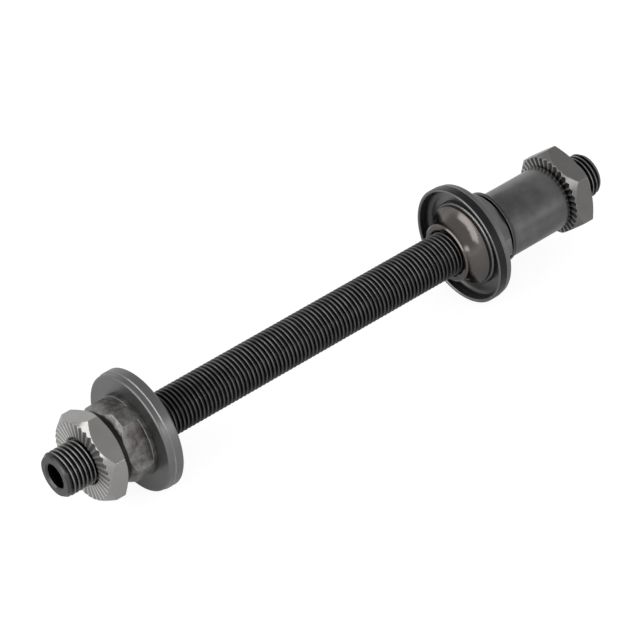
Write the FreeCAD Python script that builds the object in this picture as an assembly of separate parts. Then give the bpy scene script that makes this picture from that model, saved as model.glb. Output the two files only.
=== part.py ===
import FreeCAD, Part
import math
import os
from FreeCAD import Rotation, Vector

# Hollow rear axle set of a bicycle hub, for a quick release skewer.
# The axle lies along Y with its middle at the origin: +X is forward on the bicycle, +Y its left side
# and +Z up. Lengths are in millimetres. Each side is stacked inwards from its end of the axle, and
# "out" below is a distance from the middle towards that side's end.

# Axle: M10 x 1 over its whole length, drawn at its crest, its fine thread not cut. A stub of it
# stands out past each lock nut, for the frame's dropouts.
axle_length = 141.0
left_stub_long = 6.7
right_stub_long = 6.2
axle_diameter = 9.7
skewer_bore = 5.3
end_chamfer_long = 0.9
end_chamfer_deep = 0.6
bore_chamfer = 0.35
thread_clearance = 0.05

# Cones: hardened race inboard, pressed dust cap, shoulder, then four flats for a thin wrench
left_wrench_long = 5.8
right_wrench_long = 4.85
cone_inboard_long = 6.85
cone_nose_diameter = 13.0
cone_seat_diameter = 17.5
cone_seat_long = 2.7
cone_shoulder_diameter = 17.8
cone_shoulder_long = 1.0
wrench_flats = 14.8
wrench_chamfer_long = 1.2
wrench_chamfer_deep = 1.45
flat_sides = 4
nose_chamfer = 0.3
countersink_deep = 0.5
left_flat_turn = 62.0
right_flat_turn = 32.5

# Dust caps: pressed sheet, with a bead round the rim and a neck that grips the cone's seat
cap_diameter = 25.9
cap_deep = 3.45
cap_sheet = 0.7
cap_skirt_wall = 0.55
cap_bead_long = 2.0
cap_bead_high = 0.2
cap_shoulder_round = 0.5
cap_inner_round = 1.1
cap_neck_long = 1.5
cap_neck_wall = 0.55
cap_lip_round = 0.25
press_clearance = 0.02

# Washers and the right spacer, both loose on the thread
washer_diameter = 15.9
washer_thick = 1.0
washer_bore = 10.4
washer_edge_round = 0.25
right_washer_lift = 0.25
spacer_diameter = 14.25
spacer_bore = 11.4
spacer_long = 16.0
spacer_edge = 0.3
spacer_sag = 0.5

# Lock nuts: hexagons with a deep chamfer and radial teeth on one face
nut_flats = 17.3
nut_thick = 4.9
nut_sides = 6
nut_tooth_count = 35
nut_tooth_deep = 0.3
nut_tooth_share = 0.86
nut_face_diameter = 17.0
nut_back_diameter = 16.6
nut_face_slope = 50.0
nut_back_slope = 30.0
nut_face_countersink = 0.4
nut_back_countersink = 0.5
nut_corner_spare = 0.2
left_nut_turn = 2.0
right_nut_turn = 44.0

fit_radius = axle_diameter / 2 + thread_clearance


def point(radius, height):
    """A point of a turned outline, given by its radius and its height along the axis."""
    return Vector(radius, 0, height)


def turned(edges):
    """A solid turned from a closed outline about the local Z axis."""
    return Part.Face(Part.Wire(edges)).revolve(Vector(), Vector(0, 0, 1), 360)


def outline(points):
    """Straight edges through the points, closed back to the first."""
    return [Part.makeLine(a, b) for a, b in zip(points, points[1:] + points[:1])]


def prism(sides, flats, height):
    """A regular prism across its flats, with the middle of a flat facing local +X."""
    step = 2 * math.pi / sides
    corner = flats / 2 / math.cos(step / 2)
    ring = [Vector(corner * math.cos(step * (k + 0.5)), corner * math.sin(step * (k + 0.5)), 0)
            for k in range(sides)]
    return Part.Face(Part.makePolygon(ring + ring[:1])).extrude(Vector(0, 0, height))


def placed(shape, side, out, turn=0.0, inward=False):
    """The shape on the axle, its local Z pointing out along a side: +1 is the left, -1 the right.

    Its local +X is turned from the bicycle's +X towards +Z by an angle in degrees.
    """
    facing = -side if inward else side
    spun = Rotation(Vector(0, 0, 1), -facing * turn)
    laid = Rotation(Vector(1, 0, 0), -90 * facing)
    shape.Placement = FreeCAD.Placement(Vector(0, side * out, 0), laid.multiply(spun))
    return shape


def make_axle():
    """The hollow axle, turned about local Z with its middle at the origin."""
    half = axle_length / 2
    radius = axle_diameter / 2
    bore = skewer_bore / 2
    mouth = bore + bore_chamfer
    tip = radius - end_chamfer_deep
    top = [point(bore, half - bore_chamfer), point(mouth, half), point(tip, half),
           point(radius, half - end_chamfer_long)]
    bottom = [Vector(p.x, 0, -p.z) for p in reversed(top)]
    return turned(outline(top + bottom))


def make_cone(wrench_long):
    """A bearing cone, with height 0 at the shoulder that the dust cap seats on."""
    nose = cone_nose_diameter / 2
    seat = cone_seat_diameter / 2
    shoulder = cone_shoulder_diameter / 2
    base = -cone_inboard_long
    race_start = base + nose_chamfer
    race_end = -cone_seat_long
    race_long = race_end - race_start
    race_rise = seat - nose
    race_radius = (race_long ** 2 + race_rise ** 2) / (2 * race_rise)
    half_turn = math.asin(race_long / race_radius) / 2
    race_middle = point(nose + race_radius * (1 - math.cos(half_turn)),
                        race_start + race_radius * math.sin(half_turn))
    wide = fit_radius + countersink_deep
    before = [point(fit_radius, wrench_long - countersink_deep), point(fit_radius, base + countersink_deep),
              point(wide, base), point(nose - nose_chamfer, base), point(nose, race_start)]
    after = [point(seat, race_end), point(seat, 0), point(shoulder, 0),
             point(shoulder, wrench_long - wrench_chamfer_long),
             point(shoulder - wrench_chamfer_deep, wrench_long), point(wide, wrench_long)]
    edges = [Part.makeLine(a, b) for a, b in zip(before, before[1:])]
    edges.append(Part.Arc(before[-1], race_middle, after[0]).toShape())
    edges += [Part.makeLine(a, b) for a, b in zip(after, after[1:] + before[:1])]
    blank = turned(edges)
    waste = Part.makeCylinder(cone_shoulder_diameter, wrench_long, point(0, cone_shoulder_long))
    flats = prism(flat_sides, wrench_flats, wrench_long + cone_shoulder_long)
    return blank.cut(waste.cut(flats)).removeSplitter()


def make_cap():
    """A dust cap, with height 0 at its closed outer face and its rim inboard."""
    rim = cap_diameter / 2
    wall = rim - cap_bead_high
    hole = cone_seat_diameter / 2 + press_clearance
    neck = hole + cap_neck_wall
    floor = -cap_sheet
    bend = cap_shoulder_round
    inner_bend = cap_inner_round
    inner = wall - cap_skirt_wall
    ledge = -cap_deep + cap_bead_long

    def quarter(radius, height, size):
        slant = size * math.sqrt(0.5)
        return Part.Arc(point(radius, height + size), point(radius + slant, height + slant),
                        point(radius + size, height)).toShape()

    lip = cap_lip_round
    face = [point(hole, 0), point(wall - bend, 0)]
    bead = [point(wall, -bend), point(wall, ledge + cap_bead_high), point(rim, ledge),
            point(rim, -cap_deep + lip), point(rim - lip, -cap_deep), point(inner + lip, -cap_deep),
            point(inner, -cap_deep + lip), point(inner, floor - inner_bend)]
    neck_foot = floor - cap_neck_long
    inside = [point(inner - inner_bend, floor), point(neck, floor), point(neck, neck_foot + lip),
              point(neck - lip, neck_foot), point(hole, neck_foot)]
    edges = [Part.makeLine(face[0], face[1]), quarter(wall - bend, -bend, bend)]
    edges += [Part.makeLine(a, b) for a, b in zip(bead, bead[1:])]
    edges.append(quarter(inner - inner_bend, floor - inner_bend, inner_bend))
    edges += [Part.makeLine(a, b) for a, b in zip(inside, inside[1:] + face[:1])]
    return turned(edges)


def make_washer():
    """A stamped washer, rounded by the die on its outer side."""
    rim = washer_diameter / 2
    hole = washer_bore / 2
    edge = washer_edge_round
    return turned(outline([point(hole, 0), point(rim, 0), point(rim, washer_thick - edge),
                           point(rim - edge, washer_thick), point(hole, washer_thick)]))


def make_spacer():
    """The plain tube between the right washer and the right lock nut."""
    rim = spacer_diameter / 2
    hole = spacer_bore / 2
    edge = spacer_edge
    return turned(outline([point(hole, 0), point(rim - edge, 0), point(rim, edge),
                           point(rim, spacer_long - edge), point(rim - edge, spacer_long),
                           point(hole, spacer_long)]))


def make_nut():
    """A lock nut, with height 0 at its plain face and its teeth at the top."""
    corner = nut_flats / 2 / math.cos(math.pi / nut_sides) + nut_corner_spare
    face = nut_face_diameter / 2
    back = nut_back_diameter / 2
    face_drop = (corner - face) * math.tan(math.radians(nut_face_slope))
    back_drop = (corner - back) * math.tan(math.radians(nut_back_slope))
    mouth = fit_radius + nut_face_countersink
    foot = fit_radius + nut_back_countersink
    envelope = turned(outline([
        point(fit_radius, nut_back_countersink), point(foot, 0), point(back, 0), point(corner, back_drop),
        point(corner, nut_thick - face_drop), point(face, nut_thick), point(mouth, nut_thick),
        point(fit_radius, nut_thick - nut_face_countersink)]))
    body = envelope.common(prism(nut_sides, nut_flats, nut_thick))
    reach = nut_flats
    half_wide = reach * math.tan(math.pi / nut_tooth_count) * nut_tooth_share
    drop = nut_tooth_deep * reach / (nut_face_diameter / 2)
    apex = point(0, nut_thick)
    corners = [Vector(reach, -half_wide, nut_thick), Vector(reach, half_wide, nut_thick),
               Vector(reach, 0, nut_thick - drop)]
    loops = [corners, [apex] + corners[:2], [apex] + corners[1:], [apex, corners[2], corners[0]]]
    wedge = Part.Solid(Part.Shell([Part.Face(Part.makePolygon(loop + loop[:1])) for loop in loops]))
    grooves = []
    for k in range(nut_tooth_count):
        groove = wedge.copy()
        groove.rotate(Vector(), Vector(0, 0, 1), 360 * (k + 0.5) / nut_tooth_count)
        grooves.append(groove)
    return body.cut(grooves)


def build():
    """Every piece in its place, by name."""
    left_nut_out = axle_length / 2 - left_stub_long - nut_thick
    left_end_out = left_nut_out - washer_thick
    left_shoulder_out = left_end_out - left_wrench_long
    right_nut_out = axle_length / 2 - right_stub_long
    spacer_out = right_nut_out - nut_thick - spacer_long
    right_end_out = spacer_out - washer_thick
    right_shoulder_out = right_end_out - right_wrench_long
    spacer = placed(make_spacer(), -1, spacer_out)
    spacer.translate(Vector(0, 0, -spacer_sag))
    lifted_washer = placed(make_washer(), -1, right_end_out)
    lifted_washer.translate(Vector(0, 0, right_washer_lift))
    return {
        "axle": placed(make_axle(), 1, 0),
        "left_cone": placed(make_cone(left_wrench_long), 1, left_shoulder_out, left_flat_turn),
        "left_dust_cap": placed(make_cap(), 1, left_shoulder_out),
        "left_washer": placed(make_washer(), 1, left_end_out),
        "left_lock_nut": placed(make_nut(), 1, left_nut_out, left_nut_turn),
        "right_cone": placed(make_cone(right_wrench_long), -1, right_shoulder_out, right_flat_turn),
        "right_dust_cap": placed(make_cap(), -1, right_shoulder_out),
        "right_washer": lifted_washer,
        "right_spacer": spacer,
        "right_lock_nut": placed(make_nut(), -1, right_nut_out, right_nut_turn, inward=True),
    }


os.makedirs("parts", exist_ok=True)
for name, shape in build().items():
    shape.exportStep("parts/" + name + ".step")
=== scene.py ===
import math

import bmesh
import bpy
import numpy as np
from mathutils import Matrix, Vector


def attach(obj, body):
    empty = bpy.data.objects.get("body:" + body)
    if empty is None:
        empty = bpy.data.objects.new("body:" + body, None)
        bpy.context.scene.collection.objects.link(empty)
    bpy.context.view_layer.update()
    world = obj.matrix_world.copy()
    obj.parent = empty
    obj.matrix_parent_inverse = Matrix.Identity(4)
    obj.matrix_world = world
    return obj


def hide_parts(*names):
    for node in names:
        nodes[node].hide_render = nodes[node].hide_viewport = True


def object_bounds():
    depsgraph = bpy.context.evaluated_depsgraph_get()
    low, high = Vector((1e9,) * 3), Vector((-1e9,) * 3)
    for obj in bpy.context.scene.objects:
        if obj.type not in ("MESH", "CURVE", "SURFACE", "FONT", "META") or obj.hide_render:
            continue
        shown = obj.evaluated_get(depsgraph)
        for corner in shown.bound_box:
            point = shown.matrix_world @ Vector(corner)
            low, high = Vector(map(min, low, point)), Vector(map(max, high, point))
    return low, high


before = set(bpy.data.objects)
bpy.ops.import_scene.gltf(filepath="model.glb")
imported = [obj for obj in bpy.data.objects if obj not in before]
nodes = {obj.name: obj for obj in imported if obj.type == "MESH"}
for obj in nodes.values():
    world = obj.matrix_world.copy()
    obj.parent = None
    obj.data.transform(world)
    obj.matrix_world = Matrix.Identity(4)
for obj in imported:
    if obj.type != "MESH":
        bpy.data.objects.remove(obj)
cad_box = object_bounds()
scene = bpy.context.scene
MM = 0.001


def reach(name):
    """The lowest and highest corner of a node's solid, in millimetres."""
    piece = nodes[name]
    spots = np.array([piece.matrix_world @ Vector(corner) for corner in piece.bound_box])
    return spots.min(axis=0) / MM, spots.max(axis=0) / MM


def colour(r, g=None, b=None):
    """A colour with its alpha, grey if only one level is given."""
    return (r, r if g is None else g, r if b is None else b, 1.0)


# The camera's place and line of sight, from the fitted view of the axle
CAMERA_PLACE = Vector((-0.42745, 0.36478, 0.51194))
CAMERA_LOOK = Vector((0.56421, -0.47716, -0.67379))
CAMERA_LENS = 211.5
CAMERA_SENSOR = 36.0
CAMERA_CLIP = (0.01, 20.0)

# The axle's thread, in millimetres
AXLE_HALF = reach("axle")[1][1]
CREST = reach("axle")[1][2]
ROOT = CREST - 0.55
TIP = CREST - 0.6
END_CHAMFER = 0.9
BORE = 2.65
BORE_CHAMFER = 0.35
PITCH = 1.0
THREAD_AROUND = 64
THREAD_MERGE = 0.004
# faces that meet at more degrees than this stay sharp
THREAD_SHARP = 40
# one pitch of the thread's outline: the share of the pitch, and the share of the depth
THREAD_OUTLINE = [(0.0, 0.0), (0.13, 0.04), (0.27, 0.5), (0.39, 0.9), (0.46, 1.0), (0.54, 1.0),
                  (0.61, 0.9), (0.73, 0.5), (0.87, 0.04)]

# Wear on the thread, in millimetres: how deep the crests are rubbed, and how long the ends are that are
# rubbed most; then its shares, its patches per metre and its colours
CREST_DEEP = 0.2
STUB_LONG = 6.0
STUB_FADE = 2.0
TIP_LONG = 0.8
TIP_FADE = 0.2
TIP_RUB = 0.13
# painted shade: the share of the crests' brightening kept on the underside, so that the upper side reads as
# lit
UNDERSIDE_SHADE_RUB = 0.3
CREST_PATCH = 420.0
CREST_RUB = colour(0.17)
END_RUB = colour(0.35)

# The cones: where the caps' shoulders lie along the axle, and how far inboard of them the ground races end
LEFT_SHOULDER = reach("left_dust_cap")[1][1]
RIGHT_SHOULDER = reach("right_dust_cap")[0][1]
RACE_INSET = 2.4
RACE_FADE = 0.2
RACE = colour(0.125, 0.116, 0.110)
RACE_ROUGH = 0.19
STAIN = colour(0.15, 0.11, 0.10)
STAIN_PATCH = 300.0
STAIN_SHARE = 0.3

# The dust caps: radii of the rim and of the wall's inside, and places inboard of the shoulder
CAP_RIM = reach("left_dust_cap")[1][2]
CAP_WALL = CAP_RIM - 0.75
CAP_LEDGE = 1.45
CAP_SHEET = 0.6
CAP_FADE = 0.1
# the grease film and painted shade inside the bend start and are full this far in from the wall
FILM_SHADE_START = 1.1
FILM_SHADE_FULL = 0.6
FILM_SHADE_SHARE = 0.5
# how far in from the rim the bead and its ledge start and are full, and how far the bead lies past the ledge
BEAD_IN = (0.1, 0.05)
LEDGE_IN = (0.16, 0.08)
BEAD_PAST = (0.15, 0.05)
LEDGE_SHARE = 0.8
LEDGE_PATCH = 260.0
# a rubbed ledge together with a painted highlight line
CAP_RUB_AND_HIGHLIGHT = colour(0.33)
# old grease in the caps, and the painted shade in the bend and on the right bead
DARK_GREASE_AND_SHADE = colour(0.02)
# painted shade: how dark the right cap's bead is painted, standing in for its darker reflection
RIGHT_BEAD_SHADE = 0.93

# The lock nuts' toothed faces: radius, and depths below the crests
NUT_FACE = 8.5
NUT_FACE_FADE = 0.1
TOOTH_TOP = (0.01, 0.05)
TOOTH_TOP_SHARE = 0.7
TOOTH_GAP = (0.03, 0.2)
TOOTH_GAP_SHARE = 0.6
TOOTH_END = (0.35, 0.45)
TOOTH_CREST = colour(0.78, 0.765, 0.75)
# the tooth gaps' colours are dirt together with painted shade, darkest on the right nut
PALE_GAP_DIRT_AND_SHADE = colour(0.24)
DARK_GAP_DIRT_AND_SHADE = colour(0.07)

# painted shade: the near-black colour that occluded crevices are darkened towards
CREVICE_SHADE = colour(0.006)

# The floor's own glow and how much of the light it returns: to the camera, in reflections, and on the piece
FLOOR_SEEN = (0.88, colour(0.22))
FLOOR_MIRRORED = (0.12, colour(0.75))
FLOOR_WHITE = colour(0.85)
FLOOR_HALF = 3000.0

# How bright the studio is, from the horizon up: the sine of the height, and the level there
STUDIO_LEVELS = [(0.0, 1.1), (0.2, 0.95), (0.45, 0.65), (0.75, 0.6), (1.0, 0.62)]


def thread_mesh():
    """The hollow axle with its right-hand thread, as vertices and faces."""
    turns = int(math.ceil(AXLE_HALF / PITCH)) + 1
    start = np.arange(-turns, turns + 1)[:, None]
    share = np.array([p[0] for p in THREAD_OUTLINE])[None, :]
    depth = np.array([p[1] for p in THREAD_OUTLINE])[None, :]
    phase = (start + share).ravel()
    height = np.broadcast_to(ROOT + (CREST - ROOT) * depth, (start.size, share.size)).ravel()
    per_turn = share.size
    angle = np.arange(THREAD_AROUND) * 2 * math.pi / THREAD_AROUND
    along = np.clip(PITCH * (phase[:, None] - angle[None, :] / (2 * math.pi)), -AXLE_HALF, AXLE_HALF)
    cone = TIP + (CREST - TIP) * (AXLE_HALF - np.abs(along)) / END_CHAMFER
    radius = np.minimum(height[:, None], cone)
    x = radius * np.cos(angle)[None, :]
    z = radius * np.sin(angle)[None, :]
    verts = np.stack([x, along, z], axis=-1).reshape(-1, 3)
    faces = []

    def number(row, column):
        # after a full turn the thread meets the row one pitch back
        if column == THREAD_AROUND:
            row = max(row - per_turn, 0)
            column = 0
        return row * THREAD_AROUND + column

    for row in range(phase.size - 1):
        for column in range(THREAD_AROUND):
            faces.append((number(row, column), number(row + 1, column),
                          number(row + 1, column + 1), number(row, column + 1)))
    mouth = BORE + BORE_CHAMFER
    throat = AXLE_HALF - BORE_CHAMFER
    rings = [(TIP, AXLE_HALF), (mouth, AXLE_HALF), (BORE, throat),
             (BORE, -throat), (mouth, -AXLE_HALF), (TIP, -AXLE_HALF)]
    base = len(verts)
    extra = [(r * math.cos(a), y, r * math.sin(a)) for r, y in rings for a in angle]
    for ring in range(len(rings) - 1):
        for column in range(THREAD_AROUND):
            after = (column + 1) % THREAD_AROUND
            first = base + ring * THREAD_AROUND
            second = first + THREAD_AROUND
            faces.append((first + column, second + column, second + after, first + after))
    return np.vstack([verts, np.array(extra)]), faces


def new_mesh(name, verts, faces, merge=0.0):
    """A piece from vertices in millimetres, with close vertices merged."""
    mesh = bpy.data.meshes.new(name)
    mesh.from_pydata([tuple(v * MM for v in p) for p in verts], [], faces)
    work = bmesh.new()
    work.from_mesh(mesh)
    if merge:
        bmesh.ops.remove_doubles(work, verts=work.verts, dist=merge * MM)
        bmesh.ops.dissolve_degenerate(work, edges=work.edges, dist=merge * MM)
    bmesh.ops.recalc_face_normals(work, faces=work.faces)
    work.to_mesh(mesh)
    work.free()
    mesh.validate()
    piece = bpy.data.objects.new(name, mesh)
    scene.collection.objects.link(piece)
    return piece


def smooth(piece, angle):
    """Smooth shading, kept sharp where faces meet at more than an angle in degrees."""
    mesh = piece.data
    mesh.polygons.foreach_set("use_smooth", [True] * len(mesh.polygons))
    mesh.set_sharp_from_angle(angle=math.radians(angle))


class Graph:
    """A material's nodes, added one at a time."""

    def __init__(self, name):
        self.material = bpy.data.materials.new(name)
        self.material.use_nodes = True
        self.tree = self.material.node_tree
        self.shader = self.tree.nodes["Principled BSDF"]

    def add(self, kind, settings=None, **inputs):
        """A node with its settings and inputs; an input named i0, i1 and so on goes by its number."""
        made = self.tree.nodes.new("ShaderNode" + kind)
        for key, value in (settings or {}).items():
            setattr(made, key, value)
        for key, value in inputs.items():
            self.put(made, int(key[1:]) if key[1:].isdigit() else key.replace("_", " "), value)
        return made

    def put(self, made, key, value):
        socket = made.inputs[key]
        if isinstance(value, bpy.types.NodeSocket):
            self.tree.links.new(value, socket)
        else:
            socket.default_value = value

    def math(self, operation, a, b=0.0, clamp=False):
        return self.add("Math", {"operation": operation, "use_clamp": clamp}, i0=a, i1=b).outputs[0]

    def times(self, *values):
        product = values[0]
        for value in values[1:]:
            product = self.math("MULTIPLY", product, value)
        return product

    def fit(self, value, low, high, to_low=0.0, to_high=1.0):
        return self.add("MapRange", {"clamp": True}, Value=value, From_Min=low, From_Max=high,
                        To_Min=to_low, To_Max=to_high).outputs[0]

    def fit_mm(self, value, low, high, to_low=0.0, to_high=1.0):
        """As fit, for a length, with its limits in millimetres."""
        return self.fit(value, low * MM, high * MM, to_low, to_high)

    def mix(self, share, a, b):
        # a Mix node's colours are its inputs 6 and 7, and its output 2
        made = self.add("Mix", {"data_type": "RGBA"}, i0=share, i6=a, i7=b)
        return made.outputs[2]

    def blend(self, share, a, b):
        return self.add("Mix", {"data_type": "FLOAT"}, i0=share, i2=a, i3=b).outputs[0]

    def noise(self, vector, scale, detail=4.0, rough=0.55):
        return self.add("TexNoise", {}, Vector=vector, Scale=scale, Detail=detail, Roughness=rough).outputs[0]


def steel(name, base, dark, roughness, edge, grain=900.0, grain_deep=0.008, patch=120.0, patch_share=0.5,
          edge_size=0.15, crevice=0.45, crevice_size=1.2, dent=0.0, streak=(1.0, 1.0, 1.0), finish=None):
    """A metal with patches, fine grain, dents, worn convex edges, and painted shade that darkens its
    crevices.

    The scales are per metre, and the depths and sizes in millimetres.
    """
    g = Graph(name)
    place = g.add("TexCoord").outputs["Object"]
    stretched = g.add("Mapping", {}, Vector=place, Scale=streak).outputs[0]
    fine = g.noise(stretched, grain, 5.0, 0.6)
    broad = g.noise(place, patch, 4.0, 0.6)
    patches = g.fit(broad, 0.5 - patch_share / 2, 0.5 + patch_share / 2)
    ground = g.mix(patches, dark, base)
    rounded = g.add("Bevel", {"samples": 6}, Radius=edge_size * MM).outputs[0]
    plain = g.add("NewGeometry").outputs["Normal"]
    turn = g.add("VectorMath", {"operation": "DOT_PRODUCT"}, i0=rounded, i1=plain).outputs["Value"]
    open_air = g.add("AmbientOcclusion", {"samples": 8, "only_local": False},
                     Distance=crevice_size * MM).outputs["AO"]
    bend = g.fit(g.math("SUBTRACT", 1.0, turn), 0.02, 0.22)
    worn = g.times(bend, g.math("POWER", open_air, 2.0), g.fit(fine, 0.3, 0.7, 0.55, 1.0))
    ground = g.mix(worn, ground, edge)
    both = g.math("MULTIPLY", g.math("ADD", fine, broad), 0.5)
    rough = g.fit(both, 0.35, 0.65, *roughness)
    if finish:
        ground, rough = finish(g, place, ground, rough)
    # painted shade: the ground darkens towards near black where ambient occlusion finds a crevice
    ground = g.mix(g.fit(open_air, 0.25, 0.85, crevice, 1.0), CREVICE_SHADE, ground)
    dented = g.add("Bump", {}, Strength=1.0, Distance=dent * MM, Height=broad, Normal=rounded).outputs[0]
    bump = g.add("Bump", {}, Strength=1.0, Distance=grain_deep * MM, Height=fine, Normal=dented).outputs[0]
    g.put(g.shader, "Base Color", ground)
    g.put(g.shader, "Metallic", 1.0)
    g.put(g.shader, "Roughness", rough)
    g.put(g.shader, "Normal", bump)
    return g.material


def spot(g, place):
    """How far a place lies along the axle, and out from its axis."""
    along = g.add("SeparateXYZ", {}, Vector=place).outputs["Y"]
    flat = g.add("VectorMath", {"operation": "MULTIPLY"}, i0=place, i1=(1.0, 0.0, 1.0)).outputs[0]
    radius = g.add("VectorMath", {"operation": "LENGTH"}, i0=flat).outputs["Value"]
    return along, radius


def race_finish(shoulder):
    """Inboard of the shoulder the cone is ground bright; outboard it stays as forged."""
    side = math.copysign(1.0, shoulder)
    race_end = abs(shoulder) - RACE_INSET

    def finish(g, place, ground, rough):
        out = g.math("MULTIPLY", spot(g, place)[0], side)
        inboard = g.fit_mm(out, race_end - RACE_FADE, race_end + RACE_FADE, 1.0, 0.0)
        return g.mix(inboard, ground, RACE), g.blend(inboard, rough, RACE_ROUGH)
    return finish


def stain_finish(shoulder):
    """The ground race as above, and faint reddish stains on the forged end."""
    ground_race = race_finish(shoulder)

    def finish(g, place, ground, rough):
        blot = g.fit(g.noise(place, STAIN_PATCH, 3.0, 0.55), 0.55, 0.68, 0.0, STAIN_SHARE)
        return ground_race(g, place, g.mix(blot, ground, STAIN), rough)
    return finish


def crest_finish(g, place, ground, rough):
    """The thread's crests are rubbed brighter than its roots, most at its ends; on the upper side they are
    brighter still as painted light, and on the underside darker as painted shade.
    """
    along, radius = spot(g, place)
    out = g.math("ABSOLUTE", along)
    height = g.add("SeparateXYZ", {}, Vector=place).outputs["Z"]
    crest = g.fit_mm(radius, CREST - CREST_DEEP, CREST)
    # painted light and shade: crests brighter on the upper side, darker on the underside
    top_light_share = g.fit_mm(height, -CREST, 0.5 * CREST, UNDERSIDE_SHADE_RUB, 1.0)
    uneven = g.fit(g.noise(place, CREST_PATCH), 0.35, 0.65, 0.4, 1.0)
    tip_start = AXLE_HALF - TIP_LONG
    tip = g.fit_mm(out, tip_start - TIP_FADE, tip_start, 0.0, TIP_RUB)
    stub_start = AXLE_HALF - STUB_LONG
    bright = g.mix(g.fit_mm(out, stub_start - STUB_FADE, stub_start), CREST_RUB, END_RUB)
    return g.mix(g.math("MAXIMUM", g.times(crest, top_light_share, uneven), tip), ground, bright), rough


def tooth_finish(name, gap_dirt_and_shade, dull):
    """The nut's teeth have bright crests, dirt and painted shade in the gaps between them, and a duller face.
    """
    face = reach(name)[1][1]

    def finish(g, place, ground, rough):
        along, radius = spot(g, place)
        depth = g.math("SUBTRACT", face * MM, along)
        on_face = g.fit_mm(radius, NUT_FACE - NUT_FACE_FADE, NUT_FACE, 1.0, 0.0)
        # dirt and painted shade in the gaps between the teeth, deeper down
        gap = g.times(on_face, g.fit_mm(depth, *TOOTH_GAP, 0.0, TOOTH_GAP_SHARE),
                      g.fit_mm(depth, *TOOTH_END, 1.0, 0.0))
        crest = g.times(on_face, g.fit_mm(depth, *TOOTH_TOP, TOOTH_TOP_SHARE, 0.0))
        ground = g.mix(crest, g.mix(gap, ground, gap_dirt_and_shade), TOOTH_CREST)
        return ground, g.blend(on_face, rough, dull)
    return finish


def cap_finish(shoulder, bead_shade):
    """The bead's ledge is rubbed bright with a painted highlight, the bead darkened with painted shade, and
    the bend inside the cap keeps old grease deepened by painted shade.
    """
    side = math.copysign(1.0, shoulder)
    edge = abs(shoulder)
    ledge_place = edge - CAP_LEDGE

    def finish(g, place, ground, rough):
        along, radius = spot(g, place)
        out = g.math("MULTIPLY", along, side)
        inside = g.times(g.fit_mm(out, edge - CAP_SHEET, edge - CAP_SHEET + CAP_FADE, 1.0, 0.0),
                         g.fit_mm(radius, CAP_WALL, CAP_WALL + CAP_FADE, 1.0, 0.0))
        # old grease together with painted shade inside the cap's bend
        film_and_shade = g.times(inside, g.fit_mm(radius, CAP_WALL - FILM_SHADE_START, CAP_WALL - FILM_SHADE_FULL, 0.0, FILM_SHADE_SHARE))
        # painted shade on the bead, standing in for a darker reflection
        bead = g.times(g.fit_mm(radius, *(CAP_RIM - inset for inset in BEAD_IN)),
                       g.fit_mm(out, *(ledge_place - past for past in BEAD_PAST), bead_shade, 0.0))
        # rubbed ledge with a painted highlight line along it
        ledge = g.times(g.fit_mm(radius, *(CAP_RIM - inset for inset in LEDGE_IN)),
                        g.fit_mm(out, ledge_place - CAP_FADE, ledge_place, 0.0, LEDGE_SHARE),
                        g.fit(g.noise(place, LEDGE_PATCH), 0.38, 0.62, 0.25, 1.0))
        ground = g.mix(film_and_shade, ground, DARK_GREASE_AND_SHADE)
        return g.mix(ledge, g.mix(bead, ground, DARK_GREASE_AND_SHADE), CAP_RUB_AND_HIGHLIGHT), rough
    return finish


def cap_steel(side, shoulder, bead_shade):
    return steel(side + "_cap_steel", colour(0.185), colour(0.155), (0.3, 0.4), colour(0.205),
                 grain_deep=0.006, edge_size=0.2, crevice=0.75, crevice_size=0.7,
                 finish=cap_finish(shoulder, bead_shade))


black_thread = steel("black_thread", colour(0.04), colour(0.028), (0.24, 0.36), colour(0.16), grain=1400.0,
                     grain_deep=0.006, edge_size=0.05, crevice=0.35, finish=crest_finish)
plated_nut = steel("plated_nut", colour(0.35, 0.34, 0.33), colour(0.30, 0.292, 0.283), (0.2, 0.3),
                   colour(0.62, 0.605, 0.59), edge_size=0.2, crevice=0.9, streak=(1.0, 0.15, 1.0),
                   finish=tooth_finish("left_lock_nut", PALE_GAP_DIRT_AND_SHADE, dull=0.46))
# painted shade: a darker copy of the plated nut's metal, used for the right nut
dark_nut = steel("dark_nut", colour(0.215, 0.21, 0.205), colour(0.17, 0.166, 0.162), (0.22, 0.32),
                 colour(0.55, 0.537, 0.524), edge_size=0.2, crevice=0.7, streak=(1.0, 0.15, 1.0),
                 finish=tooth_finish("right_lock_nut", DARK_GAP_DIRT_AND_SHADE, dull=0.36))
left_cone_steel = steel("left_cone_steel", colour(0.26, 0.256, 0.248), colour(0.10, 0.098, 0.094),
                        (0.34, 0.5), colour(0.4, 0.39, 0.376), grain_deep=0.025, patch=480.0,
                        patch_share=0.3, edge_size=0.25, crevice=0.6, crevice_size=0.8, dent=0.15,
                        finish=stain_finish(LEFT_SHOULDER))
right_cone_steel = steel("right_cone_steel", colour(0.22, 0.217, 0.214), colour(0.135, 0.133, 0.131),
                         (0.3, 0.42), colour(0.45, 0.44, 0.43), grain_deep=0.012, patch=240.0, dent=0.04,
                         crevice=0.7, crevice_size=0.8, finish=race_finish(RIGHT_SHOULDER))
black_washer = steel("black_washer", colour(0.03), colour(0.02), (0.4, 0.55), colour(0.12), grain_deep=0.01)
washer_steel = steel("washer_steel", colour(0.075), colour(0.06), (0.28, 0.4), colour(0.6), edge_size=0.3)
spacer_steel = steel("spacer_steel", colour(0.165), colour(0.09), (0.17, 0.28), colour(0.4),
                     grain_deep=0.006, patch_share=0.3, dent=0.05, streak=(1.0, 0.4, 1.0))

# The axle itself, with its thread
axle = new_mesh("threaded_axle", *thread_mesh(), merge=THREAD_MERGE)
smooth(axle, THREAD_SHARP)
axle.data.materials.append(black_thread)
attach(axle, "axle_set")
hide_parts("axle")

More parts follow.
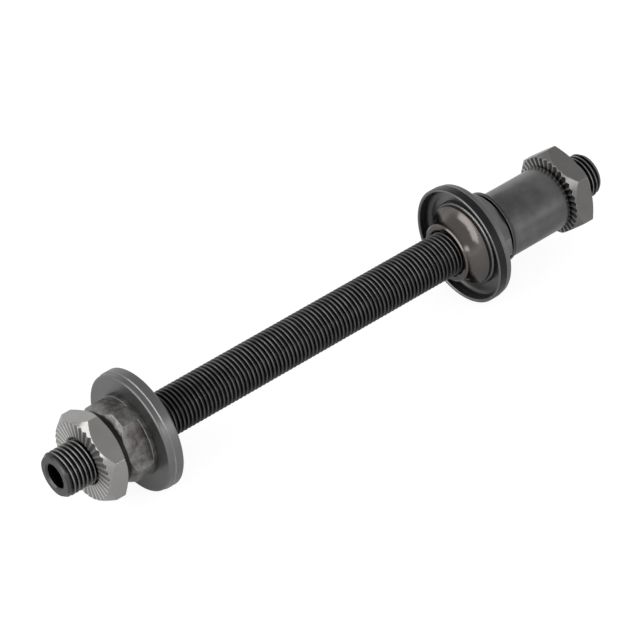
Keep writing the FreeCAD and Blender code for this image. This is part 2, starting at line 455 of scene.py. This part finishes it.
dressed = {
    "left_lock_nut": plated_nut,
    "right_lock_nut": dark_nut,
    "left_dust_cap": cap_steel("left", LEFT_SHOULDER, bead_shade=0.0),
    "right_dust_cap": cap_steel("right", RIGHT_SHOULDER, bead_shade=RIGHT_BEAD_SHADE),
    "left_cone": left_cone_steel,
    "right_cone": right_cone_steel,
    "left_washer": black_washer,
    "right_washer": washer_steel,
    "right_spacer": spacer_steel,
}
for name, material in dressed.items():
    piece = nodes[name]
    piece.data.materials.clear()
    piece.data.materials.append(material)


def floor_material():
    """White to the camera, with a faint shadow; pale in reflections too, where the shadow is a full one."""
    g = Graph("floor_white")
    path = g.add("LightPath")
    seen = path.outputs["Is Camera Ray"]
    mirrored = g.math("ADD", path.outputs["Is Glossy Ray"], path.outputs["Is Transmission Ray"], clamp=True)
    strength = g.math("ADD", g.times(seen, FLOOR_SEEN[0]), g.times(mirrored, FLOOR_MIRRORED[0]))
    tint = g.mix(mirrored, g.mix(seen, FLOOR_WHITE, FLOOR_SEEN[1]), FLOOR_MIRRORED[1])
    glow = g.add("Emission", {}, Color=colour(1.0), Strength=strength).outputs[0]
    matt = g.add("BsdfDiffuse", {}, Color=tint).outputs[0]
    both = g.add("AddShader", {}, i0=glow, i1=matt).outputs[0]
    g.tree.links.new(both, g.tree.nodes["Material Output"].inputs["Surface"])
    return g.material


floor_level = cad_box[0][2] / MM
corners = [(x * FLOOR_HALF, y * FLOOR_HALF, floor_level) for x, y in ((-1, -1), (1, -1), (1, 1), (-1, 1))]
floor = new_mesh("floor", corners, [(0, 1, 2, 3)])
floor.data.materials.append(floor_material())


def make_world():
    """A studio: white walls all round and a darker ceiling."""
    world = bpy.data.worlds.new("studio")
    world.use_nodes = True
    scene.world = world
    tree = world.node_tree
    back = tree.nodes["Background"]
    place = tree.nodes.new("ShaderNodeTexCoord")
    apart = tree.nodes.new("ShaderNodeSeparateXYZ")
    ramp = tree.nodes.new("ShaderNodeValToRGB")
    tree.links.new(place.outputs["Generated"], apart.inputs[0])
    tree.links.new(apart.outputs["Z"], ramp.inputs[0])
    while len(ramp.color_ramp.elements) < len(STUDIO_LEVELS):
        ramp.color_ramp.elements.new(0.5)
    for element, (height, level) in zip(ramp.color_ramp.elements, STUDIO_LEVELS):
        element.position = height
        element.color = colour(level)
    tree.links.new(ramp.outputs[0], back.inputs["Color"])
    back.inputs["Strength"].default_value = 1.0


def soft_box(name, bearing, height, size, level, away=0.7):
    """A soft box that faces the axle, at angles in degrees from +X and up, with a level of brightness."""
    turn, lift = math.radians(bearing), math.radians(height)
    place = away * Vector((math.cos(lift) * math.cos(turn), math.cos(lift) * math.sin(turn), math.sin(lift)))
    data = bpy.data.lights.new(name, "AREA")
    data.shape = "RECTANGLE"
    data.size, data.size_y = size
    data.energy = level * math.pi * size[0] * size[1]
    lamp = bpy.data.objects.new(name, data)
    lamp.location = place
    lamp.rotation_euler = (-place).to_track_quat("-Z", "Y").to_euler()
    scene.collection.objects.link(lamp)


make_world()
soft_box("left_box", bearing=88.0, height=31.0, size=(1.05, 0.38), level=2.4)
soft_box("right_box", bearing=-165.0, height=28.0, size=(0.26, 0.2), level=2.5)

camera_data = bpy.data.cameras.new("camera")
camera_data.lens = CAMERA_LENS
camera_data.sensor_width = CAMERA_SENSOR
camera_data.clip_start, camera_data.clip_end = CAMERA_CLIP
camera = bpy.data.objects.new("camera", camera_data)
camera.location = CAMERA_PLACE
camera.rotation_euler = CAMERA_LOOK.to_track_quat("-Z", "Y").to_euler()
scene.collection.objects.link(camera)
scene.camera = camera
scene.view_settings.view_transform = "Standard"
